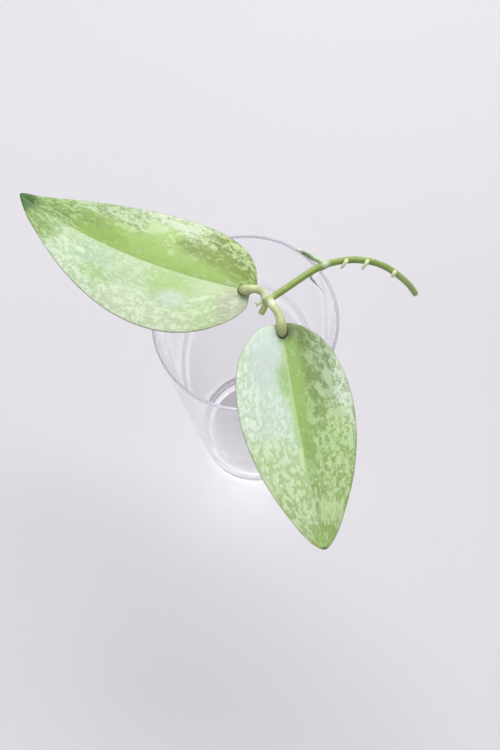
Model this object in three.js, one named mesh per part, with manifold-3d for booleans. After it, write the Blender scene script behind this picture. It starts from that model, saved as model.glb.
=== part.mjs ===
// Silver hoya cutting lying across the mouth of a tall clear glass.
// Millimetres. The glass stands on z = 0 with its axis on the Z axis. +Y is the far side, +X the right.

import * as THREE from 'three';
import loadManifold from 'manifold-3d';
import { mergeVertices } from 'three/addons/utils/BufferGeometryUtils.js';

const manifold = await loadManifold();
manifold.setup();

// Glass
const glassHeight = 185;
const rimRadius = 40; // to the middle of the wall
const wall = 1.3;
const footRadius = 32;
const footThickness = 7;
const heelRound = 4;
const floorRound = 8;
const glassSegments = 64;

// Vine and stalks
const seat = 0.35; // gap between pieces that touch or have grown together
const vineRadius = 1.45;
const knobRadius = 1.8; // swelling of the vine where the two leaves sit
const stubRadius = 1.3;
const petioleRadius = 2.15; // at the blade
const jointRadius = 1.7; // of the pale swollen joint at the vine
const vineRest = glassHeight + seat + vineRadius;

// Leaf blades
const bladeThickness = 1.5; // at the midrib
const marginThickness = 0.7;
const foldSlope = 0.2; // each half climbs away from the midrib
const foldReturn = 0.9; // and bends back down before the margin
const baseRise = 1.2; // the blade's base stands up towards its petiole
const baseReach = 25; // and is down on the rim's level this far out
const bladeRings = 26;
const bladeColumns = 8;
const keelHeight = glassHeight + seat + bladeThickness / 2; // midrib of a blade that lies on the rim

const leftLeaf = {
  base: [-1.5, 13.5, keelHeight],
  heading: 150, // degrees from +X, seen from above
  length: 108, // from the petiole to the tip
  lobes: 7.6, // reach behind the petiole
  halfWidths: [28.9, 25.4], // left and right of the midrib, looking to the tip
  baseRoundness: [0.47, 0.57],
  tipTaper: [0.9, 1.06],
  sway: 4.6, // midrib bows sideways
  tipRise: 5,
};

const frontLeaf = {
  base: [15.3, -11.1, keelHeight + 0.35],
  heading: -84.8,
  length: 89.4,
  lobes: 7,
  halfWidths: [24.6, 24],
  baseRoundness: [0.57, 0.43],
  tipTaper: [0.82, 0.73],
  sway: -1.2,
  tipRise: -12,
};

// Routes of the round pieces, from where each is fixed to its free end
const nodeCentre = [10.6, 6.8, 188.4];
const cutEnd = [7.4, 3.7, 182];
const vineRoute = [
  nodeCentre,
  [17.3, 10.6, 188.1],
  [29, 17.6, 187.4],
  [34.6, 20.5, vineRest],
  [40.3, 22.1, 186.6],
  [51.6, 22.6, 185.7],
  [62.6, 20.3, 182.2],
  [73.2, 14.8, 173.8],
  [77, 11.5, 168],
];
const leftPetioleRoute = [
  [9.3, 8.4, 189.1],
  [8.7, 9.5, 189.9],
  [7.6, 10.5, 190.6],
  [5.9, 11.3, 191.2],
  [3.3, 11.5, 191.3],
  [1.1, 11.3, 190.9],
  [-1.4, 11.9, 190],
];
const frontPetioleRoute = [
  [11.9, 4.9, 189.1],
  [12.8, 2.4, 190],
  [14.1, -0.4, 190.9],
  [14.8, -2.8, 191.5],
  [15, -5.5, 191.7],
  [15.1, -8.1, 191.4],
  [15.2, -11.4, 190.5],
];
const backYoungLeafRoute = [
  [35.2, 22.8, 187.3],
  [33.4, 24.3, 186.8],
  [30.6, 26.5, 186.4],
  [27.9, 28.8, 186.2],
  [25.4, 30.8, 186.2],
];
const insideYoungLeafRoute = [
  [30.3, 17.1, 185.3],
  [30.9, 16.1, 184.2],
  [32.3, 14.8, 182.7],
  [34.1, 13, 181.2],
  [35.9, 11, 180],
];
const nodeRootRoutes = [
  [[8.2, 6.4, 188], [6.2, 6.1, 187.8], [4.6, 6.6, 188.2]],
  [[7.4, 6.2, 187.8], [6.2, 5.7, 187.4], [5.2, 5.2, 186.8]],
];
// Root stubs along the vine: share of its length from the node, and how far each hangs
const vineRoots = {
  near: { share: 0.49, hang: 1.2 },
  middle: { share: 0.605, hang: 2.2 },
  far: { share: 0.78, hang: 1.1 },
};

function points(list) {
  return list.map((place) => new THREE.Vector3(...place));
}

function material(color, roughness, metalness = 0) {
  return new THREE.MeshStandardMaterial({ color, roughness, metalness });
}

const green = {
  vine: material(0x9bc864, 0.45),
  petiole: material(0xb9c88c, 0.45),
  leftBlade: material(0xa0c878, 0.4),
  frontBlade: material(0xa8cc8c, 0.4),
  youngLeaf: material(0x9db58c, 0.5),
  root: material(0xdfe6c4, 0.6),
};
const clearGlass = new THREE.MeshStandardMaterial({
  color: 0xf2f4f8,
  roughness: 0.03,
  metalness: 0,
  transparent: true,
  opacity: 0.3,
});

// A closed skin over rings of points, with one point at each end
function closedSkin(firstPoint, rings, lastPoint) {
  const around = rings[0].length;
  const vertices = [firstPoint, ...rings.flat(), lastPoint];
  const last = vertices.length - 1;
  const faces = [];
  const at = (ring, k) => 1 + ring * around + (k % around);
  for (let k = 0; k < around; k += 1) {
    faces.push(0, at(0, k + 1), at(0, k));
    faces.push(last, at(rings.length - 1, k), at(rings.length - 1, k + 1));
    for (let ring = 0; ring < rings.length - 1; ring += 1) {
      faces.push(at(ring, k), at(ring, k + 1), at(ring + 1, k + 1));
      faces.push(at(ring, k), at(ring + 1, k + 1), at(ring + 1, k));
    }
  }
  const geometry = new THREE.BufferGeometry().setFromPoints(vertices);
  geometry.setIndex(faces);
  geometry.computeVertexNormals();
  return geometry;
}

// A round or flattened stalk along a route, with rounded ends
function stalk(route, { radii, flatness = 1, sides = 12, steps = 12 }) {
  const curve = new THREE.CatmullRomCurve3(points(route), false, 'centripetal');
  const length = curve.getLength();
  const up = new THREE.Vector3(0, 0, 1);
  const radiusAt = (t) => {
    const place = t * (radii.length - 1);
    const k = Math.min(Math.floor(place), radii.length - 2);
    return THREE.MathUtils.lerp(radii[k], radii[k + 1], place - k);
  };
  const stations = [];
  const endSteps = [0.12, 0.4, 0.75];
  endSteps.forEach((part) => stations.push((part * radii[0]) / length));
  for (let k = 0; k <= steps; k += 1) {
    const start = radii[0] / length;
    const end = 1 - radii.at(-1) / length;
    stations.push(THREE.MathUtils.lerp(start, end, k / steps));
  }
  endSteps.toReversed().forEach((part) => stations.push(1 - (part * radii.at(-1)) / length));
  const rings = stations.map((t) => {
    const centre = curve.getPointAt(t);
    const along = curve.getTangentAt(t);
    const side = new THREE.Vector3().crossVectors(up, along).normalize();
    const rise = new THREE.Vector3().crossVectors(along, side);
    const endDistance = Math.min((t * length) / radii[0], ((1 - t) * length) / radii.at(-1), 1);
    const radius = radiusAt(t) * Math.sqrt(1 - (1 - endDistance) ** 2);
    return Array.from({ length: sides }, (_, k) => {
      const angle = (2 * Math.PI * k) / sides;
      return centre
        .clone()
        .addScaledVector(side, radius * Math.cos(angle))
        .addScaledVector(rise, radius * flatness * Math.sin(angle));
    });
  });
  return closedSkin(curve.getPointAt(0), rings, curve.getPointAt(1));
}

// Width of a blade's half, 0 to 1, from the back of the lobes (0) to the tip (1)
function halfWidthAt(share, roundness, taper) {
  const widest = roundness / (roundness + taper);
  const peak = widest ** roundness * (1 - widest) ** taper;
  return (share ** roundness * (1 - share) ** taper) / peak;
}

// A thick pointed blade, folded a little along its midrib
function blade(leaf) {
  const base = new THREE.Vector3(...leaf.base);
  const heading = THREE.MathUtils.degToRad(leaf.heading);
  const along = new THREE.Vector3(Math.cos(heading), Math.sin(heading), 0);
  const left = new THREE.Vector3(-along.y, along.x, 0);
  const whole = leaf.length + leaf.lobes;
  const surfaceAt = (share, across, face) => {
    const reach = share * whole - leaf.lobes;
    const outward = THREE.MathUtils.clamp(reach / leaf.length, 0, 1);
    const half = across > 0 ? 0 : 1;
    const fullWidth = leaf.halfWidths[half];
    const shape = halfWidthAt(share, leaf.baseRoundness[half], leaf.tipTaper[half]);
    const width = Math.abs(across) * fullWidth * shape;
    const fold = foldSlope * width * (1 - (foldReturn * width) / fullWidth);
    const thickness = THREE.MathUtils.lerp(bladeThickness, marginThickness, across ** 2);
    const bow = leaf.sway * Math.sin(Math.PI * outward);
    const stand = baseRise * (1 - THREE.MathUtils.smoothstep(reach, 0, baseReach));
    const midrib = base.z + leaf.tipRise * outward ** 3 + stand;
    return base
      .clone()
      .addScaledVector(along, reach)
      .addScaledVector(left, bow + Math.sign(across) * width)
      .setZ(midrib + fold + (face * thickness) / 2);
  };
  const across = Array.from({ length: bladeColumns + 1 }, (_, k) => 1 - (2 * k) / bladeColumns);
  const rings = [];
  for (let k = 1; k < bladeRings; k += 1) {
    const share = (1 - Math.cos((Math.PI * k) / bladeRings)) / 2;
    const top = across.map((place) => surfaceAt(share, place, 1));
    const underside = across.toReversed().map((place) => surfaceAt(share, place, -1));
    rings.push([...top, ...underside]);
  }
  return closedSkin(surfaceAt(0, 0, 0), rings, surfaceAt(1, 0, 0));
}

function glass() {
  const rimOuter = rimRadius + wall / 2;
  const rimInner = rimRadius - wall / 2;
  const wallSlope = (rimOuter - footRadius) / glassHeight;
  const innerFoot = footRadius - wall + wallSlope * footThickness;
  const profile = new THREE.Path();
  profile.moveTo(0, 0);
  profile.lineTo(footRadius - heelRound, 0);
  profile.absarc(footRadius - heelRound, heelRound, heelRound, -Math.PI / 2, 0);
  profile.lineTo(rimOuter, glassHeight - wall / 2);
  profile.absarc(rimRadius, glassHeight - wall / 2, wall / 2, 0, Math.PI);
  profile.lineTo(rimInner, glassHeight - wall / 2);
  profile.absarc(
    innerFoot - floorRound,
    footThickness + floorRound,
    floorRound,
    0,
    -Math.PI / 2,
    true,
  );
  profile.lineTo(0, footThickness);
  const geometry = new THREE.LatheGeometry(profile.getPoints(3), glassSegments);
  return geometry.rotateX(Math.PI / 2);
}

function roundSection(radius, sides) {
  return new THREE.Shape().absarc(0, 0, radius, 0, 2 * Math.PI).getPoints(sides / 2).slice(0, sides);
}

function tube(route, radius, steps, sides = 12) {
  return new THREE.ExtrudeGeometry(new THREE.Shape(roundSection(radius, sides)), {
    steps,
    extrudePath: new THREE.CatmullRomCurve3(points(route), false, 'centripetal'),
  });
}

function joined(geometries) {
  const solids = geometries.map((geometry) => {
    const bare = geometry.clone();
    bare.deleteAttribute('normal');
    bare.deleteAttribute('uv');
    const merged = mergeVertices(bare, 1e-4);
    const corners = [];
    for (let k = 0; k < merged.index.count; k += 3) {
      const [a, b, c] = [0, 1, 2].map((step) => merged.index.getX(k + step));
      if (a !== b && b !== c && c !== a) corners.push(a, b, c);
    }
    return new manifold.Manifold(
      new manifold.Mesh({
        numProp: 3,
        vertProperties: new Float32Array(merged.attributes.position.array),
        triVerts: new Uint32Array(corners),
      }),
    );
  });
  const mesh = solids.reduce((sum, solid) => sum.add(solid)).getMesh();
  const geometry = new THREE.BufferGeometry();
  geometry.setAttribute('position', new THREE.BufferAttribute(mesh.vertProperties, 3));
  geometry.setIndex(new THREE.BufferAttribute(mesh.triVerts, 1));
  geometry.computeVertexNormals();
  return geometry;
}

// The vine: one grown stem from its cut end, bending at the knob between the leaves, to its young end
function vine() {
  const knob = new THREE.SphereGeometry(knobRadius, 14, 10).translate(...nodeCentre);
  const vineSteps = 34;
  return joined([tube(vineRoute, vineRadius, vineSteps), tube([nodeCentre, cutEnd], stubRadius, 3), knob]);
}

// A root stub leaves the vine's upper near side and bends down over it
function vineRootRoute({ share, hang }) {
  const vineAt = new THREE.CatmullRomCurve3(points(vineRoute), false, 'centripetal').getPointAt(share);
  const clear = vineRadius + seat;
  const steps = [
    [0, -0.72 * clear, 0.97 * clear],
    [-0.8, -clear - 1.1, 0.5],
    [-1.7, -clear - 1.4, -hang],
  ];
  return steps.map(([x, y, z]) => [vineAt.x + x, vineAt.y + y, vineAt.z + z]);
}

const hoya = new THREE.Group();

function add(name, geometry, finish) {
  const mesh = new THREE.Mesh(geometry, finish);
  mesh.name = name;
  hoya.add(mesh);
}

add('glass_tumbler', glass(), clearGlass);
add('vine_stem', vine(), green.vine);
add('left_leaf', blade(leftLeaf), green.leftBlade);
add('front_leaf', blade(frontLeaf), green.frontBlade);

const petioleRadii = [jointRadius, 1.75, 1.9, 2.1, petioleRadius, petioleRadius];
add('left_petiole', stalk(leftPetioleRoute, { radii: petioleRadii }), green.petiole);
add('front_petiole', stalk(frontPetioleRoute, { radii: petioleRadii }), green.petiole);

const youngLeaf = { sides: 8, steps: 8, flatness: 0.5 };
const backRadii = [0.8, 1.2, 1.1, 1, 0.5];
const insideRadii = [0.7, 0.9, 0.7, 0.5, 0.4];
add('young_leaf_back', stalk(backYoungLeafRoute, { radii: backRadii, ...youngLeaf }), green.youngLeaf);
add('young_leaf_inside', stalk(insideYoungLeafRoute, { radii: insideRadii, ...youngLeaf }), green.youngLeaf);

const rootShape = { radii: [0.6, 0.55, 0.4], sides: 8, steps: 4 };
add('node_root', joined(nodeRootRoutes.map((route) => stalk(route, rootShape))), green.root);
for (const [place, root] of Object.entries(vineRoots)) {
  add(`vine_root_${place}`, stalk(vineRootRoute(root), rootShape), green.root);
}

export default hoya;
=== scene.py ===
"""A cutting of silver hoya laid across the mouth of a tall clear glass: its looks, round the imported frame.
Metres. The glass stands on z = 0 with its axis on the Z axis; +Y is the far side."""

import math

import bpy
from mathutils import Matrix, Vector, kdtree


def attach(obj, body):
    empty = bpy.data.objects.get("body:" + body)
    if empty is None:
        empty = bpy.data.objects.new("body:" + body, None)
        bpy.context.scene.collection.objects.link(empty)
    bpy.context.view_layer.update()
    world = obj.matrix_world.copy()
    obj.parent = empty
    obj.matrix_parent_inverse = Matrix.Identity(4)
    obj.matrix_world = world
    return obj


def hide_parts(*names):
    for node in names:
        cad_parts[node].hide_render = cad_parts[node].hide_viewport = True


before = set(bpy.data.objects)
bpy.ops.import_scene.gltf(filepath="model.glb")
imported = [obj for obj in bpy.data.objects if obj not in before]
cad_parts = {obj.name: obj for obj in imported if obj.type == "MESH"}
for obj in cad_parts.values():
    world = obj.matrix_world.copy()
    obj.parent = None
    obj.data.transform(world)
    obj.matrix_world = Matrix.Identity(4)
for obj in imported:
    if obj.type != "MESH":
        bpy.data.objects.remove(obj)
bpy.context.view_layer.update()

# CAMERA
# The view is steeply down from the near side, turned a little, at arm's length above the leaves.
# Its place and lens come from the ellipses of the glass's rim and foot and the lean of its wall.

CAMERA_PLACE = (-0.0003, -0.1611, 0.6063)
CAMERA_PITCH = math.radians(72.1)
CAMERA_ROLL = math.radians(-5.7)
FOCAL_PIXELS = 1042.0
PICTURE_HEIGHT = 750.0
SENSOR = 36.0

camera = bpy.data.objects.new("camera", bpy.data.cameras.new("camera"))
camera.data.sensor_width = SENSOR
camera.data.lens = FOCAL_PIXELS / PICTURE_HEIGHT * SENSOR
camera.data.clip_start = 0.01
camera.data.clip_end = 20.0
tip_down = Matrix.Rotation(math.pi / 2 - CAMERA_PITCH, 4, "X")
roll = Matrix.Rotation(CAMERA_ROLL, 4, "Z")
camera.matrix_world = Matrix.Translation(CAMERA_PLACE) @ tip_down @ roll
bpy.context.scene.collection.objects.link(camera)
bpy.context.scene.camera = camera

# GLASS
# A tall tumbler of clear soda glass, blown in a turning mould: a thin wall that widens to the mouth,
# a heavier rounded foot and a fire-polished rim. It is turned here from its profile, like the real one.

MM = 0.001
GLASS_HEIGHT = 185.0
RIM_RADIUS = 40.0
WALL = 1.3
FOOT_RADIUS = 32.0
FOOT_THICKNESS = 7.0
HEEL_ROUND = 4.0
FLOOR_ROUND = 8.0
RIM_SQUARENESS = 0.66
RIM_STEPS = 18
GLASS_SEGMENTS = 256


class Amount:
    """A number that varies over a surface. Sums written with it become Math nodes in its tree."""

    def __init__(self, tree, socket):
        self.tree = tree
        self.socket = socket

    def sum(self, operation, *others, first=None):
        """This number and the others under an operation of the Math node, or first and then this number."""
        made = self.tree.nodes.new("ShaderNodeMath")
        made.operation = operation
        given = (self, *others) if first is None else (first, self)
        for socket, value in zip(made.inputs, given):
            feed(self.tree, socket, value)
        return Amount(self.tree, made.outputs[0])

    def __add__(self, other):
        return self.sum("ADD", other)

    __radd__ = __add__

    def __sub__(self, other):
        return self.sum("SUBTRACT", other)

    def __mul__(self, other):
        return self.sum("MULTIPLY", other)

    __rmul__ = __mul__

    def __truediv__(self, other):
        return self.sum("DIVIDE", other)

    def __pow__(self, other):
        return self.sum("POWER", other)

    def __neg__(self):
        return self.sum("MULTIPLY", -1.0)

    def __rsub__(self, other):
        return self.sum("SUBTRACT", first=other)

    def ramp(self, low, high):
        """0 up to low and 1 from high on, eased between them."""
        inputs = {"Value": self, "From Min": low, "From Max": high}
        return Amount(
            self.tree,
            result(self.tree, "ShaderNodeMapRange", inputs, interpolation_type="SMOOTHSTEP"),
        )


def feed(tree, socket, value):
    """Gives a socket a plain value, another node's output or an Amount."""
    if isinstance(value, Amount):
        value = value.socket
    if isinstance(value, bpy.types.NodeSocket):
        tree.links.new(value, socket)
    else:
        socket.default_value = value


def node(tree, kind, inputs=None, **settings):
    made = tree.nodes.new(kind)
    for name, value in settings.items():
        setattr(made, name, value)
    for name, value in (inputs or {}).items():
        feed(tree, made.inputs[name], value)
    return made


def result(tree, kind, inputs=None, **settings):
    """The first output of a new node."""
    return node(tree, kind, inputs, **settings).outputs[0]


SOCKETS = {float: "NodeSocketFloat", int: "NodeSocketInt", tuple: "NodeSocketVector"}


def new_tree(name, kind, inputs, outputs):
    """A node tree with named inputs and outputs. Returns the tree, its input Amounts and its output node."""
    tree = bpy.data.node_groups.new(name, kind)
    for label, value in inputs.items():
        socket_type = value if isinstance(value, str) else SOCKETS[type(value)]
        socket = tree.interface.new_socket(label, in_out="INPUT", socket_type=socket_type)
        if not isinstance(value, str):
            socket.default_value = value
    for label, socket_type in outputs.items():
        tree.interface.new_socket(label, in_out="OUTPUT", socket_type=socket_type)
    given = tree.nodes.new("NodeGroupInput")
    known = {label: Amount(tree, given.outputs[label]) for label in inputs}
    return tree, known, tree.nodes.new("NodeGroupOutput")


GEOMETRY = "NodeSocketGeometry"
MATERIAL = "NodeSocketMaterial"


def axes_of(tree, vector):
    split = node(tree, "ShaderNodeSeparateXYZ", {"Vector": vector})
    return [Amount(tree, socket) for socket in split.outputs]


def joined_axes(tree, x, y, z):
    return result(tree, "ShaderNodeCombineXYZ", {"X": x, "Y": y, "Z": z})


def scaled(tree, vector, amount):
    return result(tree, "ShaderNodeVectorMath", {0: vector, "Scale": amount}, operation="SCALE")


def noise(tree, vector, scale, detail=2.0, roughness=0.5, distortion=0.0):
    """Noise around 0, about a half each way."""
    inputs = {"Scale": scale, "Detail": detail, "Roughness": roughness, "Distortion": distortion}
    return Amount(tree, result(tree, "ShaderNodeTexNoise", {"Vector": vector, **inputs})) - 0.5


def unit_grid(tree, rows, columns):
    """A flat grid, one metre each way, that a formula then bends into shape."""
    sizes = {"Size X": 1.0, "Size Y": 1.0, "Vertices X": rows, "Vertices Y": columns}
    return result(tree, "GeometryNodeMeshGrid", sizes)


def placed_points(tree, geometry, place):
    return result(tree, "GeometryNodeSetPosition", {"Geometry": geometry, "Position": place})


def close_skin(tree, geometry, material):
    """Merges seams and poles, smooths the shading and sets the material: the end of each tree."""
    skin = result(tree, "GeometryNodeMergeByDistance", {"Geometry": geometry, "Distance": 1e-7})
    skin = result(tree, "GeometryNodeSetShadeSmooth", {"Geometry": skin})
    skin = result(tree, "GeometryNodeRealizeInstances", {"Geometry": skin})
    return result(tree, "GeometryNodeSetMaterial", {"Geometry": skin, "Material": material})


def moved(tree, geometry, scale):
    """The geometry, with each point moved along its own normal by scale."""
    normal = result(tree, "GeometryNodeInputNormal")
    shift = scaled(tree, normal, scale)
    return result(tree, "GeometryNodeSetPosition", {"Geometry": geometry, "Offset": shift})


def mark_points(mesh, label, values):
    """Gives each vertex of a mesh its value of a new attribute."""
    mesh.attributes.new(label, "FLOAT", "POINT").data.foreach_set("value", values)


def line_mesh(name, lines, girths=()):
    """A mesh of open lines and, where given, the girth at each of their points, from millimetres."""
    mesh = bpy.data.meshes.new(name)
    edges = []
    start = 0
    for line in lines:
        edges += [(start + k, start + k + 1) for k in range(len(line) - 1)]
        start += len(line)
    mesh.from_pydata([point * MM for line in lines for point in line], edges, [])
    if girths:
        mark_points(mesh, "girth", [girth * MM for row in girths for girth in row])
    return mesh


def grown(name, tree, values, start=None, finish=()):
    """Runs a tree on a start mesh, with finish's modifiers after it, and keeps the result as a plain mesh."""
    piece = bpy.data.objects.new(name, start or bpy.data.meshes.new(name))
    modifier = piece.modifiers.new("shape", "NODES")
    modifier.node_group = tree
    for socket in tree.interface.items_tree:
        if socket.in_out == "INPUT" and socket.name in values:
            modifier[socket.identifier] = values[socket.name]
    for label, kind, settings in finish:
        extra = piece.modifiers.new(label, kind)
        for setting, value in settings.items():
            setattr(extra, setting, value)
    bpy.context.scene.collection.objects.link(piece)
    evaluated = piece.evaluated_get(bpy.context.evaluated_depsgraph_get())
    mesh = bpy.data.meshes.new_from_object(evaluated)
    mesh.name = name
    if mesh.materials[0] is None:
        mesh.materials.pop(index=0)
    piece.modifiers.clear()
    piece.data = mesh
    return piece


def tone(red, green, blue):
    """A colour as seen on a screen, 0 to 255, as the linear values that shaders take."""

    def linear(part):
        part /= 255
        return part / 12.92 if part <= 0.04045 else ((part + 0.055) / 1.055) ** 2.4

    return (linear(red), linear(green), linear(blue), 1.0)


def new_material(name, **constants):
    """A material with its Principled shader, whose constants are set on its own sockets."""
    material = bpy.data.materials.new(name)
    material.use_nodes = True
    shader = material.node_tree.nodes["Principled BSDF"]
    for label, value in constants.items():
        shader.inputs[label.replace("_", " ")].default_value = value
    return material, material.node_tree, shader


def placed(tree):
    """Where a point of the piece is, in the frame's metres."""
    return tree.nodes.new("ShaderNodeTexCoord").outputs["Object"]


def blended(tree, mask, below, above):
    """Colour below where mask is 0 and above where it is 1."""
    made = node(tree, "ShaderNodeMix", {0: mask, 6: below, 7: above}, data_type="RGBA")
    return made.outputs[2]


def surface(tree, shader, colour, roughness, height, distance, strength):
    """Feeds a shader its colour, its roughness, and the fine relief of its surface."""
    feed(tree, shader.inputs["Base Color"], colour)
    feed(tree, shader.inputs["Roughness"], roughness)
    relief = {"Height": height, "Distance": distance, "Strength": strength}
    feed(tree, shader.inputs["Normal"], result(tree, "ShaderNodeBump", relief))


def quarter(centre_r, centre_z, radius, start, end, steps):
    """Profile points of an arc, with angles in degrees from the outward direction."""
    angles = [math.radians(start + (end - start) * k / steps) for k in range(steps + 1)]
    return [(centre_r + radius * math.cos(a), centre_z + radius * math.sin(a)) for a in angles]


def straight(start, end, shares):
    return [tuple(a + (b - a) * share for a, b in zip(start, end)) for share in shares]


rim_outer = RIM_RADIUS + WALL / 2
rim_z = GLASS_HEIGHT - WALL / 2
wall_lean = (rim_outer - FOOT_RADIUS) / GLASS_HEIGHT
inner_foot = FOOT_RADIUS - WALL + wall_lean * FOOT_THICKNESS
heel = quarter(FOOT_RADIUS - HEEL_ROUND, HEEL_ROUND, HEEL_ROUND, -90, 0, 10)
# the fire-polished rim is a little flat on top
rim = []
for step in range(RIM_STEPS + 1):
    angle = math.pi * step / RIM_STEPS
    sideways = math.copysign(abs(math.cos(angle)) ** RIM_SQUARENESS, math.cos(angle))
    upward = math.sin(angle) ** RIM_SQUARENESS
    rim.append((RIM_RADIUS + WALL / 2 * sideways, rim_z + WALL / 2 * upward))
floor_round = quarter(
    inner_foot - FLOOR_ROUND, FOOT_THICKNESS + FLOOR_ROUND, FLOOR_ROUND, 0, -90, 16
)
wall_shares = [0.004, *[k / 24 for k in range(1, 24)], 0.996]
glass_profile = [
    (0.0, 0.0),
    *straight((0.0, 0.0), heel[0], [0.25, 0.5, 0.75, 0.97]),
    *heel,
    *straight(heel[-1], rim[0], wall_shares),
    *rim,
    *straight(rim[-1], floor_round[0], wall_shares),
    *floor_round,
    *straight(floor_round[-1], (0.0, FOOT_THICKNESS), [0.03, 0.25, 0.5, 0.75]),
    (0.0, FOOT_THICKNESS),
]

tree, given, out = new_tree(
    "turned glass",
    "GeometryNodeTree",
    {"Profile": GEOMETRY, "Segments": GLASS_SEGMENTS, "Wave": 0.0, "Material": MATERIAL},
    {"Glass": GEOMETRY},
)
rows = result(tree, "GeometryNodeAttributeDomainSize", {"Geometry": given["Profile"]})
columns = given["Segments"] + 1
row = (Amount(tree, result(tree, "GeometryNodeInputIndex")) + 0.5) / columns
here = result(tree, "GeometryNodeInputPosition")
sampled = node(
    tree,
    "GeometryNodeSampleIndex",
    {"Geometry": given["Profile"], "Index": row.sum("FLOOR")},
    data_type="FLOAT_VECTOR",
)
feed(tree, sampled.inputs["Value"], here)
reach, _, height = axes_of(tree, sampled.outputs[0])
turn = (axes_of(tree, here)[1] + 0.5) * (-2 * math.pi)
across, deep = reach * turn.sum("COSINE"), reach * turn.sum("SINE")
turned = placed_points(tree, unit_grid(tree, rows, columns), joined_axes(tree, across, deep, height))
turned = result(tree, "GeometryNodeMergeByDistance", {"Geometry": turned, "Distance": 1e-6})
# blown glass is never quite even: the wall wanders by a few hundredths of a millimetre
above_foot = height.ramp(0.012, 0.04) * (1 - height.ramp(0.178, 0.184))
wave = noise(tree, here, 28.0, 1.0) * given["Wave"] * above_foot
feed(tree, out.inputs[0], close_skin(tree, moved(tree, turned, wave), given["Material"]))
turned_glass = tree

# heights in metres between which the wall turns into the rim
RIM_HEIGHTS = (0.1838, 0.1847)

clear_glass, tree, shader = new_material(
    "clear glass", Transmission_Weight=1.0, IOR=1.46, Metallic=0.0
)
place = placed(tree)
smear = noise(tree, place, 60.0, 3.0).ramp(0.02, 0.3)
# the rim is a little satin, and shows as one soft line where the clear wall lets light through
bead = axes_of(tree, place)[2].ramp(*RIM_HEIGHTS)
colour = blended(tree, smear, tone(253, 253, 255), tone(250, 250, 255))
colour = blended(tree, bead, colour, tone(226, 226, 246))
roughness = 0.004 + 0.02 * smear + 0.36 * bead
surface(tree, shader, colour, roughness, noise(tree, place, 45.0, 1.5), 0.0001, 0.35)
# thin clear glass throws hardly any shadow, so rays to the lamps pass through it
rays = tree.nodes.new("ShaderNodeLightPath").outputs
let_by = tree.nodes.new("ShaderNodeMixShader")
feed(tree, let_by.inputs[0], rays["Is Shadow Ray"])
feed(tree, let_by.inputs[1], shader.outputs[0])
feed(tree, let_by.inputs[2], result(tree, "ShaderNodeBsdfTransparent"))
feed(tree, tree.nodes["Material Output"].inputs["Surface"], let_by.outputs[0])

glass = grown(
    "glass",
    turned_glass,
    {"Segments": GLASS_SEGMENTS, "Wave": 0.00008, "Material": clear_glass},
    line_mesh("glass_profile", [[Vector((r, 0.0, z)) for r, z in glass_profile]]),
)
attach(glass, "root")
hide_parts("glass_tumbler")

# VINE
# The green stem of the cutting: cut off square just below the knob where the two leaves sit, it runs over
# the rim past a second knob to its soft young end. The stem, its cut stub and both knobs are one growth.

NODE_CENTRE = (10.6, 6.8, 188.4)
VINE_ROUTE = [
    NODE_CENTRE, (17.3, 10.6, 188.1), (29, 17.6, 187.4),
    (34.6, 20.5, 186.8), (40.3, 22.1, 186.6), (51.6, 22.6, 185.7),
    (62.6, 20.3, 182.2), (73.6, 14.4, 173.8), (78, 10.7, 167.2),
]
VINE_RADIUS = 1.52
STUB_RADIUS = 1.42
KNOB_RADIUS = 1.85
CUFF_RADIUS = 2.02
SECOND_KNOB_AT = 29.2
CUT_END = (7.4, 3.7, 182)
STUB_REACH = 0.0022
ROUTE_SAMPLES = 400
SKIN_VOXEL = 0.00017


def smooth_route(route, spacing=0.35):
    """Points closely spaced on the centripetal Catmull-Rom curve through a route, and its length."""
    points = [Vector(point) for point in route]
    points = [2 * points[0] - points[1], *points, 2 * points[-1] - points[-2]]
    knots = [0.0]
    for a, b in zip(points, points[1:]):
        knots.append(knots[-1] + math.sqrt((b - a).length))

    def curve_at(place):
        k = 1
        while k < len(knots) - 3 and place > knots[k + 1]:
            k += 1
        near = points[k - 1 : k + 3]
        at = knots[k - 1 : k + 3]
        for level in (1, 2, 3):
            joined = []
            for j in range(4 - level):
                low, high = (at[j], at[j + level]) if level < 3 else (at[1], at[2])
                share = (place - low) / (high - low)
                joined.append(near[j].lerp(near[j + 1], share))
            near = joined
        return near[0]

    first, last = knots[1], knots[-2]
    fine = [curve_at(first + (last - first) * k / ROUTE_SAMPLES) for k in range(ROUTE_SAMPLES + 1)]
    lengths = [0.0]
    for a, b in zip(fine, fine[1:]):
        lengths.append(lengths[-1] + (b - a).length)
    count = max(4, round(lengths[-1] / spacing))
    evenly, k = [], 0
    for step in range(count + 1):
        want = lengths[-1] * step / count
        while k < len(lengths) - 2 and lengths[k + 1] < want:
            k += 1
        share = (want - lengths[k]) / max(lengths[k + 1] - lengths[k], 1e-9)
        evenly.append(fine[k].lerp(fine[k + 1], min(share, 1.0)))
    return evenly, lengths[-1]


def girths_along(points, radius_at, round_start=0.0, round_end=0.0):
    """The radius at each point, from radius_at(distance), rounded off over a length at either end."""
    distance = [0.0]
    for a, b in zip(points, points[1:]):
        distance.append(distance[-1] + (b - a).length)
    whole = distance[-1]

    def rounding(away, over):
        return math.sqrt(max(1 - (1 - min(away / over, 1.0)) ** 2, 0.0)) if over else 1.0

    return [
        max(radius_at(d) * rounding(d, round_start) * rounding(whole - d, round_end), 0.02)
        for d in distance
    ]


def hill(distance, centre, reach):
    return math.exp(-(((distance - centre) / reach) ** 2))


def mixed_between(stops, distance):
    """The value at a distance, eased between (distance, value) stops."""
    for (d0, v0), (d1, v1) in zip(stops, stops[1:]):
        if distance <= d1:
            share = min(max((distance - d0) / (d1 - d0), 0.0), 1.0)
            return v0 + (v1 - v0) * share * share * (3 - 2 * share)
    return stops[-1][1]


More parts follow.
